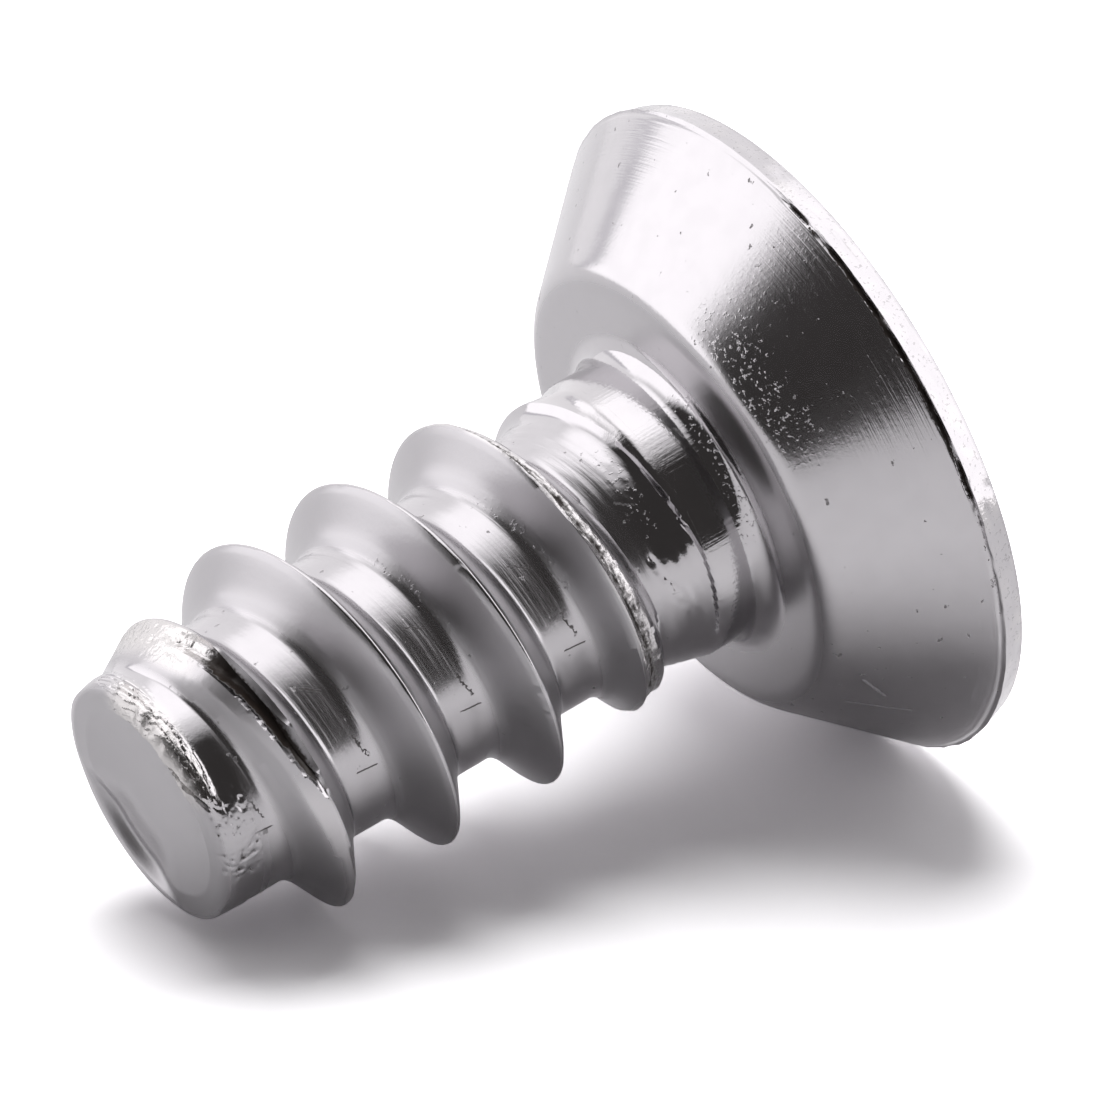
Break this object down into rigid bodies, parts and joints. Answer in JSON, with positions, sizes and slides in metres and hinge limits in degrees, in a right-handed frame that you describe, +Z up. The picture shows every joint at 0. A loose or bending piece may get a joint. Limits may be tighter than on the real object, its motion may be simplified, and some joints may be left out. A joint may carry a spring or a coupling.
{
  "type": "countersunk self-tapping screw",
  "caption": "Countersunk self-tapping screw with an undercut flat head, cross recess, coarse right-handed thread and blunt end, for sheet metal or plastic.",
  "frame": {"origin": "middle of the bottom of the bounding box, on the floor that the screw lies on", "axes": "+Z up; +X along the lying screw, from its blunt end towards its head"},
  "size_m": [0.01, 0.008, 0.0077],
  "materials": {
    "steel": "bright zinc-plated, with fine turning marks"
  },
  "bodies": {
    "root": {"screw": "steel"}
  },
  "joints": []
}
